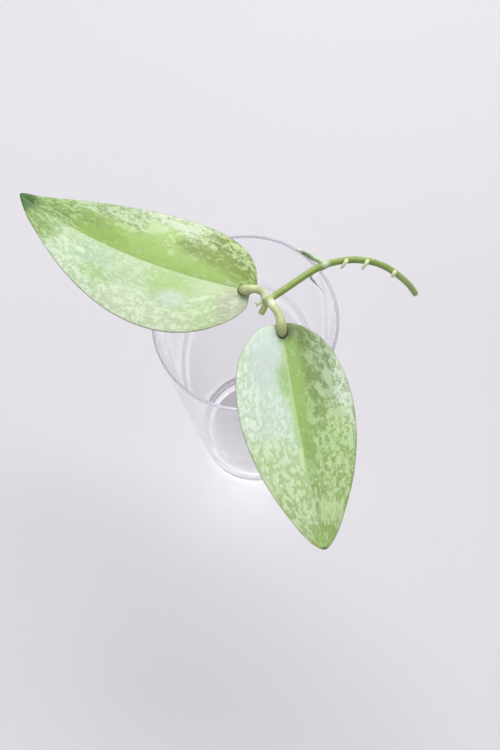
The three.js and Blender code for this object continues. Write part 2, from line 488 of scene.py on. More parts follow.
tree, given, out = new_tree(
    "grown stalk",
    "GeometryNodeTree",
    {"Lines": GEOMETRY, "Sides": 24, "Flatness": 1.0, "Uneven": 0.0, "Material": MATERIAL},
    {"Stalk": GEOMETRY},
)
strand = result(tree, "GeometryNodeMeshToCurve", {"Mesh": given["Lines"]})
strand = result(tree, "GeometryNodeSetCurveNormal", {"Curve": strand}, mode="Z_UP")
girth = result(tree, "GeometryNodeInputNamedAttribute", {"Name": "girth"}, data_type="FLOAT")
circle = {"Resolution": given["Sides"], "Radius": 1.0}
ring = result(tree, "GeometryNodeCurvePrimitiveCircle", circle)
flattened = joined_axes(tree, given["Flatness"], 1.0, 1.0)
ring = result(tree, "GeometryNodeTransform", {"Geometry": ring, "Scale": flattened})
skin = result(
    tree,
    "GeometryNodeCurveToMesh",
    {"Curve": strand, "Profile Curve": ring, "Scale": girth, "Fill Caps": True},
)
here = result(tree, "GeometryNodeInputPosition")
uneven = (noise(tree, here, 260.0, 2.0) + noise(tree, here, 900.0) * 0.4) * given["Uneven"]
feed(tree, out.inputs[0], close_skin(tree, moved(tree, skin, uneven), given["Material"]))
grown_stalk = tree


def mark_distance(piece, lines):
    """Gives each vertex its distance along the nearest line, in millimetres, as the attribute along."""
    marks = []
    for line in lines:
        away = 0.0
        for k, point in enumerate(line):
            away += (point - line[k - 1]).length if k else 0.0
            marks.append((point, away))
    tree = kdtree.KDTree(len(marks))
    for k, (point, _) in enumerate(marks):
        tree.insert(point * MM, k)
    tree.balance()
    mark_points(piece.data, "along", [marks[tree.find(v.co)[1]][1] for v in piece.data.vertices])


def attribute(tree, name, kind="Fac"):
    made = node(tree, "ShaderNodeAttribute", attribute_name=name, attribute_type="GEOMETRY")
    return Amount(tree, made.outputs[kind])


def stretched(tree, vector, scale):
    return result(tree, "ShaderNodeMapping", {"Vector": vector, "Scale": scale})


def near_point(tree, place, centre, reach, soft=0.5):
    """A mask of 1 at a point in millimetres, falling to 0 at reach millimetres from it."""
    centre = tuple(part * MM for part in centre)
    far = node(tree, "ShaderNodeVectorMath", {0: place, 1: centre}, operation="DISTANCE")
    return 1 - (Amount(tree, far.outputs["Value"]) / MM).ramp(reach * (1 - soft), reach)


# stem skin: streaks and pale breathing pores, shared by the vine, the leaf stalks and the roots
tree, given, out = new_tree(
    "stem skin",
    "ShaderNodeTree",
    {"Place": (0.0, 0.0, 0.0), "Pores": 0.5},
    {label: "NodeSocketFloat" for label in ("Streak", "Pore", "Height")},
)
streak = noise(tree, stretched(tree, given["Place"], (500.0, 500.0, 500.0)), 1.0, 3.0, 0.6)
cells = {"Vector": given["Place"], "Scale": 900.0, "Randomness": 1.0}
from_pore = Amount(tree, node(tree, "ShaderNodeTexVoronoi", cells).outputs["Distance"])
pore = (1 - from_pore.ramp(0.1, 0.26)) * given["Pores"]
fine = noise(tree, given["Place"], 3200.0, 2.0)
feed(tree, out.inputs["Streak"], streak)
feed(tree, out.inputs["Pore"], pore)
feed(tree, out.inputs["Height"], streak * 0.6 + fine * 0.3 + pore * 0.25)
stem_skin = tree


def group_on(tree, group, inputs):
    """Places a group in a material with its own values, and returns what it puts out."""
    made = node(tree, "ShaderNodeGroup", inputs, node_tree=group)
    return [Amount(tree, socket) for socket in made.outputs]


def skin_on(tree, place, pores, dark, light):
    """Stem skin streaked from a dark to a light colour: the colour, its streaks, pores and height."""
    streak, pore, height = group_on(tree, stem_skin, {"Place": place, "Pores": pores})
    colour = blended(tree, (streak + 0.25).ramp(0.0, 0.5), tone(*dark), tone(*light))
    return colour, streak, pore, height


def grown_along(name, lines, girths, inputs, finish=()):
    """Grows a piece along its lines, with its girth at each point, and marks the distance along them."""
    piece = grown(name, grown_stalk, inputs, line_mesh(f"{name}_lines", lines, girths), finish)
    mark_distance(piece, lines)
    return piece


def one_skin(rounds):
    """Modifiers that melt crossing stalks into one closed skin and smooth it a number of rounds."""
    remesh = {"mode": "VOXEL", "voxel_size": SKIN_VOXEL, "use_smooth_shade": True}
    smooth = {"factor": 0.5, "iterations": rounds}
    return (("one skin", "REMESH", remesh), ("healed joints", "SMOOTH", smooth))


vine_green, tree, shader = new_material(
    "vine green", Specular_IOR_Level=0.45, Subsurface_Weight=0.12, Subsurface_Scale=0.0012
)
place = placed(tree)
along = attribute(tree, "along")
colour, streak, pore, height = skin_on(tree, place, 0.26, (120, 144, 62), (139, 160, 80))
near_knob = 1 - along.ramp(1.0, 5.0)
colour = blended(tree, near_knob, colour, tone(162, 180, 110))
# the cut stub is painted paler: painted light on its underside, which faces down into shade
colour = blended(tree, 1 - along.ramp(-4.0, -1.0), colour, tone(194, 213, 136))
colour = blended(tree, along.ramp(45.0, 80.0) * 0.7, colour, tone(158, 176, 122))
colour = blended(tree, pore, colour, tone(196, 214, 150))
# pale corky scars at the second knob and under the two leaf stalks
for centre, reach, strength in (
    ((37.3, 21.0, 188.1), 2.6, 0.62),
    ((12.1, 4.4, 189.8), 3.0, 1.0),
    ((8.9, 8.8, 189.8), 3.0, 1.0),
):
    scar = near_point(tree, place, centre, reach, 0.7) * (streak * 0.6 + 0.95)
    colour = blended(tree, (scar * strength).sum("MINIMUM", 1.0), colour, tone(212, 220, 194))
cut = 1 - along.ramp(-7.6, -6.7)
colour = blended(tree, cut * 0.5, colour, tone(176, 188, 130))
surface(tree, shader, colour, 0.42 + streak * 0.2, height, 0.0001, 0.6)


def vine_girth(distance):
    swell = 0.35 * hill(distance, SECOND_KNOB_AT, 1.9) + 0.3 * hill(distance, 0.0, 2.2)
    thin = mixed_between([(0, 1.0), (30, 1.0), (70, 0.97), (79, 0.93)], distance)
    return VINE_RADIUS * thin + swell


vine_line, _ = smooth_route(VINE_ROUTE)
stub_line, _ = smooth_route([NODE_CENTRE, (9.1, 5.3, 185.4), CUT_END])
knob_line = [Vector(NODE_CENTRE) + Vector((0.3, -0.35, 0.1)) * k for k in (-5, -3, -1, 1, 3, 5)]
# two soft cuffs on the knob, out of which the leaf stalks grow
left_cuff, _ = smooth_route([NODE_CENTRE, (9.5, 8.1, 189.0), (9.05, 8.85, 189.45)])
front_cuff, _ = smooth_route([NODE_CENTRE, (11.7, 5.2, 188.95), (12.05, 4.45, 189.3)])
vine_lines = [vine_line, stub_line, knob_line, left_cuff, front_cuff]
vine_girths = [
    girths_along(vine_line, vine_girth, 0.0, 0.9),
    girths_along(stub_line, lambda d: STUB_RADIUS + 0.1 * hill(d, 7.6, 0.8)),
    girths_along(knob_line, lambda d: KNOB_RADIUS, 1.6, 1.6),
    girths_along(left_cuff, lambda d: CUFF_RADIUS, 0.0, 0.5),
    girths_along(front_cuff, lambda d: CUFF_RADIUS, 0.0, 0.5),
]
inputs = {"Sides": 28, "Flatness": 1.0, "Uneven": 0.00012, "Material": vine_green}
vine = grown("vine", grown_stalk, inputs, line_mesh("vine_lines", vine_lines, vine_girths), one_skin(6))
mark_distance(vine, vine_lines[:2])
# down the cut stub the distance counts below zero
layer = vine.data.attributes["along"]
stub_at = [Vector(point) * MM for point in (NODE_CENTRE, CUT_END)]
stub_way = (stub_at[1] - stub_at[0]).normalized()
for k, vertex in enumerate(vine.data.vertices):
    down = (vertex.co - stub_at[0]).dot(stub_way)
    beside = (vertex.co - stub_at[0] - stub_way * down).length
    if down > 0.001 and beside < STUB_REACH:
        layer.data[k].value = -down / MM
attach(vine, "root")
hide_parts("vine_stem")

# LEAF STALKS
# Each blade hangs on a thick curved stalk that rises from a pale swollen joint on the knob, arches over
# the blade's lobes and runs down into its midrib. The skin is olive green, browner where it meets the blade.

LEFT_STALK_ROUTE = [
    (10.4, 7.0, 188.4), (9.3, 8.4, 189.1), (8.7, 9.5, 189.9),
    (7.6, 10.5, 190.6), (5.9, 11.3, 191.2), (3.3, 11.5, 191.3),
    (1.1, 11.75, 190.6), (0.2, 12.3, 189.4), (-0.5, 12.9, 187.9),
]
FRONT_STALK_ROUTE = [
    (11.1, 6.2, 188.4), (11.9, 4.9, 189.1), (12.8, 2.4, 190),
    (14.1, -0.4, 190.9), (14.8, -2.8, 191.5), (15, -5.5, 191.7),
    (15.1, -8.0, 191.1), (15.2, -9.3, 190.0), (15.3, -10.3, 188.2),
]
# radii in millimetres at shares of the stalk's length
STALK_GIRTHS = [
    (0.0, 1.6), (0.1, 1.85), (0.2, 1.75), (0.3, 1.62), (0.5, 1.82),
    (0.63, 2.12), (0.76, 2.3), (0.87, 2.05), (0.95, 1.5), (1.0, 0.75),
]

stalk_olive, tree, shader = new_material(
    "stalk olive", Specular_IOR_Level=0.45, Subsurface_Weight=0.12, Subsurface_Scale=0.0012
)
place = placed(tree)
along = attribute(tree, "along")
colour, streak, pore, height = skin_on(tree, place, 0.3, (166, 174, 118), (194, 203, 154))
colour = blended(tree, (1 - along.ramp(2.6, 5.0)) * 0.9, colour, tone(216, 222, 196))
front = 1 - axes_of(tree, place)[1].ramp(-0.006, 0.006)
colour = blended(tree, front * 0.5, colour, tone(156, 164, 112))
blade_end = attribute(tree, "blade_end")
colour = blended(tree, blade_end.ramp(0.5, 0.92) * 0.4, colour, tone(146, 152, 100))
colour = blended(tree, pore, colour, tone(206, 212, 160))
# the last of the stalk, where it sinks into the blade, turns near black: partly a brown stain, partly painted
# shade in the crease
colour = blended(tree, blade_end.ramp(0.9, 0.99), colour, tone(70, 52, 46))
surface(tree, shader, colour, 0.4 + streak * 0.2, height, 0.0001, 0.6)


def mark_share(piece, label, length):
    """Gives each vertex, which already has its distance along, its share of the whole length."""
    marks = piece.data.attributes["along"].data
    shares = [mark.value / length for mark in marks]
    mark_points(piece.data, label, shares)


for name, node_name, route in (
    ("left_stalk", "left_petiole", LEFT_STALK_ROUTE),
    ("front_stalk", "front_petiole", FRONT_STALK_ROUTE),
):
    line, length = smooth_route(route, 0.3)
    girths = girths_along(line, lambda d: mixed_between(STALK_GIRTHS, d / length), 0.6, 0.8)
    inputs = {"Sides": 32, "Flatness": 1.0, "Uneven": 0.0001, "Material": stalk_olive}
    stalk = grown_along(name, [line], [girths], inputs, one_skin(4))
    mark_share(stalk, "blade_end", length)
    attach(stalk, "root")
    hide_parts(node_name)

# LEAF BLADES
# Two thick waxy blades, each folded a little along its sunken midrib, with margins that bend back down.
# The skin is green splashed with silver: air held under the skin shows as pale ragged flecks.

# metres
BASE_RISE = 0.0012
BASE_REACH = 0.025
BLADE_THICKNESS = 0.0015
MARGIN_THICKNESS = 0.0007
GROOVE_SPREAD = 0.0007
KEEL_SPREAD = 0.0013
STALK_SET_BACK = 0.0019
SEAT_LIP = 0.0002
NOTCH_SPREAD = 0.0038
NOTCH_REACH = 0.004

tree, given, out = new_tree(
    "leaf blade",
    "GeometryNodeTree",
    {
        "Rings": 200,
        "Columns": 30,
        "Foot": (0.0, 0.0, 0.0),
        "Heading": 0.0,
        "Length": 0.1,
        "Lobes": 0.0076,
        "Left Width": 0.025, "Right Width": 0.025,
        "Left Roundness": 0.5, "Right Roundness": 0.5,
        "Left Taper": 0.9, "Right Taper": 0.9,
        "Sway": 0.0,
        "Tip Width": 0.0008, "Tip Hook": 0.0, "Tip Rise": 0.0,
        "Fold": 0.2, "Fold Return": 0.9,
        "Notch": 0.0, "Notch Place": 0.0,
        "Groove": 0.0002, "Keel": 0.001, "Wave": 0.0005,
        "Stalk Turn": 0.0, "Stalk Radius": 0.002, "Stalk Seat": 0.0008,
        "Material": MATERIAL,
    },
    {"Blade": GEOMETRY},
)
skin = unit_grid(tree, given["Rings"] + 1, given["Columns"] * 4 + 1)
down_blade, round_blade, _ = axes_of(tree, result(tree, "GeometryNodeInputPosition"))
share = (1 - ((down_blade + 0.5) * math.pi).sum("COSINE")) * 0.5
swing = 1 - 4 * round_blade.sum("ABSOLUTE")
side = swing.sum("SIGN")
wide = (1 - (swing.sum("ABSOLUTE") * math.pi).sum("COSINE")) * 0.5
face = -round_blade.sum("SIGN")
on_left = swing.sum("GREATER_THAN", 0.0)


def by_half(name):
    left, right = given[f"Left {name}"], given[f"Right {name}"]
    return right + (left - right) * on_left


half_width, roundness, taper = by_half("Width"), by_half("Roundness"), by_half("Taper")
widest = roundness / (roundness + taper)
peak = widest**roundness * (1 - widest) ** taper
outline = share**roundness * (1 - share) ** taper / peak
reach = share * (given["Length"] + given["Lobes"]) - given["Lobes"]
outward = (reach / given["Length"]).sum("MAXIMUM", 0.0).sum("MINIMUM", 1.0)
ends = (1 - (2 * share - 1).sum("ABSOLUTE") ** 60.0).sum("MAXIMUM", 0.0) ** 0.5
# the tip is blunt, and leans a little to one side
blunt = given["Tip Width"] * outward.ramp(0.82, 0.98) * ends
width = wide * (half_width * outline + blunt)
lateral = side * width
lean = given["Tip Hook"] * outward.ramp(0.87, 1.01) ** 2.0
bow = given["Sway"] * (outward * math.pi).sum("SINE") + lean
fold = given["Fold"] * width * (1 - given["Fold Return"] * width / half_width)
stand = BASE_RISE * (1 - reach.ramp(0.0, BASE_REACH))
height = given["Tip Rise"] * outward**3.0 + stand + fold
# the surface waves a little, but its outline stays
flat_place = joined_axes(tree, reach, lateral, 0.0)
wave = noise(tree, flat_place, 55.0, 1.5) + noise(tree, flat_place, 160.0, 1.0) * 0.2
height = height + wave * given["Wave"] * (1 - wide**4.0) * ends
# the stalk presses a seat into the blade's base
cos_turn, sin_turn = given["Stalk Turn"].sum("COSINE"), given["Stalk Turn"].sum("SINE")
back = -(reach + STALK_SET_BACK)
behind = back * cos_turn - lateral * sin_turn
beside = back * sin_turn + lateral * cos_turn
ahead = (-behind).sum("MAXIMUM", 0.0)
from_stalk = (ahead * ahead + beside * beside).sum("SQRT") / given["Stalk Radius"]
seat = 1 - from_stalk.ramp(0.55, 1.2)
lip = (-(((from_stalk - 1.5) / 0.4) ** 2.0)).sum("EXPONENT")
height = height - (seat * given["Stalk Seat"] - lip * SEAT_LIP) * ends
# the midrib is a groove on top and a keel below; both fade towards the tip
narrow = 1 - outward * 0.6
groove = (-((width / (GROOVE_SPREAD * narrow)) ** 2.0)).sum("EXPONENT") * given["Groove"]
groove = groove * (1 - outward**2.0) * reach.ramp(-0.001, 0.004)
keel = (-((width / (KEEL_SPREAD * narrow)) ** 2.0)).sum("EXPONENT") * given["Keel"]
keel = keel * (1 - outward) ** 0.7 * reach.ramp(-0.0076, 0.0)
thickness = BLADE_THICKNESS + (MARGIN_THICKNESS - BLADE_THICKNESS) * wide**2.0
rounded = (1 - wide**40.0).sum("MAXIMUM", 0.0) ** 0.5
half_thick = thickness * rounded * ends * 0.5
is_top = face.sum("GREATER_THAN", 0.0)
# neither reaches the margin, where the upper skin meets the lower one
inside = (1 - wide**8.0) * ends
height = height + face * half_thick - (groove * is_top + keel * (1 - is_top)) * inside
# the base is notched between its lobes
from_notch = (lateral - given["Notch Place"]) / NOTCH_SPREAD
from_end = (reach + given["Lobes"]) / NOTCH_REACH
notch = given["Notch"] * (-(from_notch * from_notch) - from_end * from_end).sum("EXPONENT")
cos_heading, sin_heading = given["Heading"].sum("COSINE"), given["Heading"].sum("SINE")
over = bow + lateral
forward = reach + notch
foot_x, foot_y, foot_z = axes_of(tree, given["Foot"])
blade_place = joined_axes(
    tree,
    foot_x + cos_heading * forward - sin_heading * over,
    foot_y + sin_heading * forward + cos_heading * over,
    foot_z + height,
)
for label, kind, value in (
    ("leaf_mm", "FLOAT_VECTOR", joined_axes(tree, reach / MM, lateral / MM, 0.0)),
    ("across", "FLOAT", side * wide),
    ("outward", "FLOAT", reach / given["Length"]),
    ("upper", "FLOAT", is_top),
    ("from_stalk", "FLOAT", from_stalk),
):
    stored = {"Geometry": skin, "Name": label, "Value": value}
    skin = result(tree, "GeometryNodeStoreNamedAttribute", stored, data_type=kind, domain="POINT")
skin = placed_points(tree, skin, blade_place)
feed(tree, out.inputs[0], close_skin(tree, skin, given["Material"]))
leaf_blade = tree

# a ragged patch on a blade, placed in millimetres from the stalk and from the midrib
tree, given, out = new_tree(
    "ragged patch",
    "ShaderNodeTree",
    {
        "Place": (0.0, 0.0, 0.0),
        "Edge": 0.0,
        "Centre": (0.0, 0.0, 0.0),
        "Turn": (0.0, 0.0, 0.0),
        "Half Size": (1.0, 1.0, 1.0),
        "Ragged": 0.3,
        "Soft": 0.2,
    },
    {"Mask": "NodeSocketFloat"},
)
own = {"Vector": given["Place"], "Location": given["Centre"], "Rotation": given["Turn"]}
own["Scale"] = given["Half Size"]
own = result(tree, "ShaderNodeMapping", own, vector_type="TEXTURE")
away = node(tree, "ShaderNodeVectorMath", {0: own}, operation="LENGTH").outputs["Value"]
away = Amount(tree, away) + given["Edge"] * given["Ragged"]
feed(tree, out.inputs[0], 1 - away.ramp(1 - given["Soft"], 1 + given["Soft"]))
ragged_patch = tree

# silver flecks: ragged islands where noise tops a level that falls as the density rises
tree, given, out = new_tree(
    "silver flecks",
    "ShaderNodeTree",
    {"Place": (0.0, 0.0, 0.0), "Density": 0.5, "Size": (3.0, 1.5, 1.0), "Seed": 0.0, "Sharp": 0.03},
    {"Mask": "NodeSocketFloat"},
)
own = {"Vector": given["Place"], "Scale": given["Size"]}
own = result(tree, "ShaderNodeMapping", own, vector_type="TEXTURE")
seed = joined_axes(tree, 0.0, 0.0, given["Seed"])
seeded = result(tree, "ShaderNodeVectorMath", {0: own, 1: seed}, operation="ADD")
raised = noise(tree, seeded, 1.0, 5.0, 0.68, 0.25)
level = (0.5 - given["Density"]) * 0.36
feed(tree, out.inputs[0], raised.ramp(level - given["Sharp"], level + given["Sharp"]))
silver_flecks = tree


def patch_on(tree, place, edge, row):
    """A patch from its row: centre, half size, turn in degrees, raggedness and softness."""
    (x, y), (half_long, half_wide), turn_by, ragged, soft = row
    inputs = {
        "Place": place,
        "Edge": edge,
        "Centre": (x, y, 0.0),
        "Turn": (0.0, 0.0, math.radians(turn_by)),
        "Half Size": (half_long, half_wide, 1.0),
        "Ragged": ragged,
        "Soft": soft,
    }
    return group_on(tree, ragged_patch, inputs)[0]


def flecks_on(tree, place, density, size, seed, sharp):
    inputs = {"Place": place, "Density": density, "Size": (*size, 1.0), "Seed": seed, "Sharp": sharp}
    return group_on(tree, silver_flecks, inputs)[0]


def on_half(mask, half):
    """A mask kept to one half of the blade, or over both where half is None."""
    return mask if half is None else mask * half


def blade_material(name, seed, first, zones, marks, tip_brown):
    """A blade's skin, from its first green, silver and silver density. Each zone changes these in a patch
    on the left half (1), the right (-1) or both (0), and each mark lays one colour over them."""
    material, tree, shader = new_material(
        name, Specular_IOR_Level=0.4, Subsurface_Weight=0.1, Subsurface_Scale=0.0015
    )
    place = attribute(tree, "leaf_mm", "Vector").socket
    across, outward = attribute(tree, "across"), attribute(tree, "outward")
    upper, from_stalk = attribute(tree, "upper"), attribute(tree, "from_stalk")
    reach, lateral, _ = axes_of(tree, place)
    # the pattern runs out from the stalk, halfway between straight and along the blade's margins
    flow = joined_axes(tree, reach, lateral * 0.45 + across * 12.0, seed)
    edge = noise(tree, stretched(tree, flow, (0.14, 0.3, 1.0)), 1.0, 4.0, 0.65)
    # the halves meet at the midrib, in a line that grows ragged and soft towards the tip
    fading = outward.ramp(0.55, 0.92)
    meeting = 0.45 + 1.5 * fading
    left_half = (lateral + edge * 9.0 * fading).ramp(-meeting, meeting)
    halves = {1: left_half, 0: None, -1: 1 - left_half}
    torn = noise(tree, stretched(tree, flow, (0.35, 0.8, 1.0)), 1.0, 4.0, 0.7)
    mottle = noise(tree, stretched(tree, flow, (0.3, 0.6, 1.0)), 1.0, 3.0, 0.6)
    green, silver, density = tone(*first[0]), tone(*first[1]), first[2]
    for half, zone_green, zone_silver, zone_density, row in zones:
        mask = on_half(patch_on(tree, place, edge, row), halves[half])
        green = blended(tree, mask, green, tone(*zone_green))
        silver = blended(tree, mask, silver, tone(*zone_silver))
        density = Amount(tree, result(tree, "ShaderNodeMix", {0: mask, 2: density, 3: zone_density}))
    drift = noise(tree, stretched(tree, flow, (0.09, 0.18, 1.0)), 1.0, 2.0)
    big = flecks_on(tree, flow, density * 0.95 + drift * 0.45, (3.6, 2.3), seed, 0.02)
    small = flecks_on(tree, flow, density * 0.85 + drift * 0.25, (1.5, 1.1), seed + 7.0, 0.04)
    flecks = (big * 0.75 + small * 0.4).sum("MINIMUM", 1.0)
    colour = blended(tree, flecks, green, silver)
    for half, mark_tone, strength, row in marks:
        mask = on_half(patch_on(tree, place, torn, row) * strength, halves[half])
        colour = blended(tree, mask, colour, tone(*mark_tone))
    colour = scaled(tree, colour, 1 + mottle * 0.3)
    rib = (1 - lateral.sum("ABSOLUTE").ramp(0.2, 1.0)) * (1 - outward.ramp(0.3, 0.95))
    colour = blended(tree, rib * 0.6 * outward.ramp(-0.02, 0.03), colour, tone(174, 196, 137))
    # a dark line along the margin: painted shade where the edge rolls down
    margin = across.sum("ABSOLUTE")
    colour = blended(tree, margin.ramp(0.972, 0.994) * 0.5, colour, tone(112, 110, 96))
    colour = blended(tree, outward.ramp(0.985, 1.0) * tip_brown, colour, tone(82, 58, 40))
    # a dark ring where the stalk sits in the blade: partly a brown stain, partly painted shade of the stalk,
    # stronger on the side where its shadow falls
    ring = (1 - from_stalk.ramp(1.0, 1.22)) * (0.45 + 0.4 * lateral.ramp(-1.6, 0.8))
    colour = blended(tree, ring, colour, tone(66, 48, 34))
    # the underside has no silver
    veins = noise(tree, stretched(tree, flow, (0.06, 0.25, 1.0)), 1.0, 2.0)
    under = blended(tree, (veins + 0.3).ramp(0.0, 0.6), tone(136, 160, 100), tone(154, 176, 120))
    under = blended(tree, rib * 0.6, under, tone(172, 188, 138))
    colour = blended(tree, upper.ramp(0.3, 0.7), under, colour)
    grain = noise(tree, place, 3.0, 3.0, 0.6)
    roughness = 0.42 + 0.06 * flecks + 0.12 * grain
    relief = flecks * 0.15 + grain * 0.35 + mottle * 0.6 + veins * 0.5
    surface(tree, shader, colour, roughness, relief, 0.00012, 0.7)
    return material


left_silver = blade_material(
    "left blade silver",
    3.0,
    ((158, 180, 135), (178, 197, 162), 0.5),
    [
        (-1, (146, 166, 112), (190, 204, 176), 0.68, ((50, -300), (2000, 300), 0, 0.0, 0.002)),
        (-1, (127, 152, 88), (177, 196, 157), 0.55, ((65, -15), (17, 8), 8, 0.5, 0.4)),
        (-1, (104, 124, 42), (176, 194, 136), 0.46, ((4, -13), (22, 9), -24, 0.4, 0.4)),
        (-1, (120, 141, 62), (158, 178, 110), 0.36, ((13, -9), (17, 4.6), -14, 1.6, 0.35)),
        (-1, (154, 184, 102), (182, 203, 144), 0.36, ((40, -14), (10, 5.0), -4, 1.0, 0.4)),
        (-1, (118, 140, 62), (150, 170, 100), 0.34, ((27, -12), (7, 3.4), -10, 1.4, 0.4)),
        (-1, (154, 185, 102), (172, 198, 130), 0.27, ((44, -1), (44, 10), -2, 0.9, 0.3)),
        (-1, (142, 174, 86), (164, 194, 116), 0.26, ((67, -5), (11, 5), 0, 0.8, 0.5)),
        (-1, (130, 158, 80), (160, 188, 120), 0.36, ((71, -7.5), (7, 3.0), 4, 1.4, 0.5)),
        (-1, (116, 148, 70), (165, 192, 132), 0.5, ((96, -6), (18, 10), 0, 0.5, 0.3)),
        # the near half is paler: partly its silver, partly painted sheen of the far light
        (1, (164, 184, 136), (192, 207, 170), 0.45, ((10, 18), (16, 9), 20, 0.4, 0.5)),
        (1, (181, 197, 159), (206, 218, 192), 0.5, ((42, 25), (34, 10), -4, 0.4, 0.5)),
        (1, (164, 190, 146), (201, 214, 191), 0.55, ((75, 16), (19, 9), -12, 0.4, 0.5)),
        (1, (170, 188, 144), (178, 196, 153), 0.2, ((10, 4), (14, 5), 0, 0.4, 0.6)),
        (1, (150, 179, 108), (170, 194, 138), 0.25, ((29, 6), (9, 6.5), 0, 0.9, 0.7)),
        (1, (180, 198, 174), (187, 204, 181), 0.3, ((25, 13), (6, 4), 0, 0.6, 0.6)),
        (1, (152, 180, 140), (176, 198, 166), 0.45, ((66, 7), (9, 4.5), 0, 0.6, 0.6)),
        (1, (152, 182, 122), (180, 203, 156), 0.35, ((61, 14.5), (7, 3), -4, 1.2, 0.6)),
        (1, (108, 142, 56), (159, 183, 126), 0.46, ((97, 4), (13, 9), -20, 0.5, 0.5)),
        (0, (156, 163, 134), (184, 193, 165), 0.45, ((-1, 9), (7, 8), 34, 0.4, 0.5)),
        (0, (44, 88, 12), (92, 128, 54), 0.3, ((108, 0), (9.5, 6), 0, 0.9, 0.45)),
    ],
    [
        (-1, (176, 202, 136), 0.9, ((34.5, -7.5), (1.6, 1.4), 0, 1.2, 0.3)),
        (-1, (180, 200, 152), 0.8, ((45, -16), (5, 2.6), 24, 2.6, 0.3)),
        (-1, (170, 198, 128), 0.8, ((57, -11), (5.5, 0.8), 2, 2.6, 0.3)),
        (1, (190, 205, 172), 0.8, ((12.5, 9), (4.5, 1.1), 32, 2.4, 0.3)),
        (1, (192, 210, 178), 0.8, ((71.5, 7.6), (2.2, 1.1), 0, 2.0, 0.3)),
        (1, (188, 206, 170), 0.6, ((44, 15.5), (6, 0.8), -3, 2.4, 0.3)),
    ],
    0.3,
)
front_silver = blade_material(
    "front blade silver",
    11.0,
    ((130, 157, 94), (173, 195, 143), 0.45),
    [
        (1, (112, 134, 84), (158, 179, 140), 0.48, ((8, 14), (26, 9), 8, 0.4, 0.4)),
        (1, (142, 162, 120), (193, 207, 184), 0.6, ((32, 23), (27, 5.5), 0, 0.4, 0.4)),
        (1, (132, 161, 90), (177, 200, 148), 0.55, ((52, 13), (17, 9), -14, 0.4, 0.4)),
        (1, (141, 165, 96), (185, 207, 155), 0.5, ((69, 8), (15, 8), -20, 0.4, 0.4)),
        (1, (116, 141, 76), (150, 172, 122), 0.4, ((18, 8), (19, 3.6), 3, 1.0, 0.45)),
        (1, (90, 110, 46), (132, 150, 99), 0.4, ((0, 7), (6, 5), 40, 0.5, 0.5)),
        (1, (140, 173, 94), (158, 189, 122), 0.27, ((28, 1.5), (30, 4.1), -2, 1.0, 0.6)),
        (1, (158, 182, 120), (188, 211, 157), 0.62, ((75, 6), (5, 5), -20, 1.4, 0.4)),
        # this half is paler: partly its silver, partly painted sheen of the light from the right
        (-1, (178, 198, 174), (199, 213, 201), 0.5, ((40, -300), (2000, 300), 0, 0.0, 0.002)),
        (-1, (180, 198, 168), (209, 222, 206), 0.5, ((28, -22), (34, 7), 0, 0.4, 0.5)),
        (-1, (168, 190, 142), (198, 216, 183), 0.5, ((56, -11), (15, 13), 10, 0.5, 0.5)),
        (-1, (164, 190, 134), (198, 217, 179), 0.55, ((59, -17), (17, 7), 22, 0.5, 0.4)),
        (-1, (156, 181, 118), (200, 218, 175), 0.5, ((72, -6), (14, 10), 0, 0.5, 0.5)),
        (-1, (186, 199, 190), (194, 207, 198), 0.3, ((8, -8), (13, 6.5), -10, 0.4, 0.6)),
        (-1, (165, 192, 134), (182, 205, 158), 0.3, ((30, -0.5), (34, 1.7), 0, 1.0, 0.8)),
        (-1, (146, 178, 112), (160, 190, 132), 0.3, ((19, -2.4), (7.5, 2.6), 0, 1.2, 0.9)),
        (0, (148, 176, 98), (186, 212, 146), 0.4, ((88, 0), (8, 7), 0, 0.7, 0.5)),
    ],
    [
        (1, (164, 184, 146), 0.8, ((21.5, 16), (7, 1.5), 8, 2.6, 0.25)),
        (1, (164, 186, 143), 0.8, ((25.5, 11.8), (4.0, 1.3), 24, 2.6, 0.25)),
        (1, (154, 175, 131), 0.75, ((11.5, 9.6), (3.6, 1.2), 32, 2.6, 0.25)),
        (1, (168, 190, 140), 0.85, ((36.5, 17), (2.5, 2.1), -20, 2.0, 0.2)),
        (1, (162, 188, 126), 0.8, ((34.5, 5.6), (4.6, 1.2), -5, 2.6, 0.25)),
        (1, (160, 186, 126), 0.8, ((30.5, 7.2), (2.6, 0.9), 10, 2.2, 0.2)),
        (1, (160, 186, 126), 0.8, ((57, 2.7), (3.0, 1.1), 8, 2.2, 0.3)),
        (-1, (196, 214, 160), 0.8, ((53, -1.3), (4.8, 0.9), 0, 1.6, 0.3)),
        # a painted shadow of the stalk on the blade, beside its end
        (1, (62, 70, 40), 0.7, ((-3.4, 3.2), (4.2, 1.7), -6, 0.6, 0.7)),
    ],
    0.9,
)

# each size of the left leaf, then of the front leaf
LEAF_SIZES = {
    "Foot": ((-0.0015, 0.0135, 0.1861), (0.0153, -0.0111, 0.18645)),
    "Heading": (math.radians(150), math.radians(-84.8)),
    "Length": (0.108, 0.0894),
    "Lobes": (0.0076, 0.007),
    "Left Width": (0.0289, 0.0246),
    "Right Width": (0.0254, 0.024),
    "Left Roundness": (0.47, 0.57),
    "Right Roundness": (0.55, 0.405),
    "Left Taper": (0.9, 0.82),
    "Right Taper": (1.06, 0.73),
    "Sway": (0.0046, -0.0012),
    "Tip Width": (0.0006, 0.0009),
    "Tip Hook": (-0.0011, 0.0),
    "Tip Rise": (0.005, -0.012),
    "Notch": (0.0021, 0.0003),
    "Notch Place": (0.0006, 0.0),
    "Stalk Turn": (math.radians(18), math.radians(-2)),
    "Material": (left_silver, front_silver),
}
for k, name in enumerate(("left_leaf", "front_leaf")):
    values = {label: pair[k] for label, pair in LEAF_SIZES.items()}
    leaf = grown(f"{name}_blade", leaf_blade, values)
    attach(leaf, "root")
    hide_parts(name)

# YOUNG LEAVES
# Two leaves that never opened stand at the second knob, small and soft: one points back over the rim,
# the other hangs into the glass.

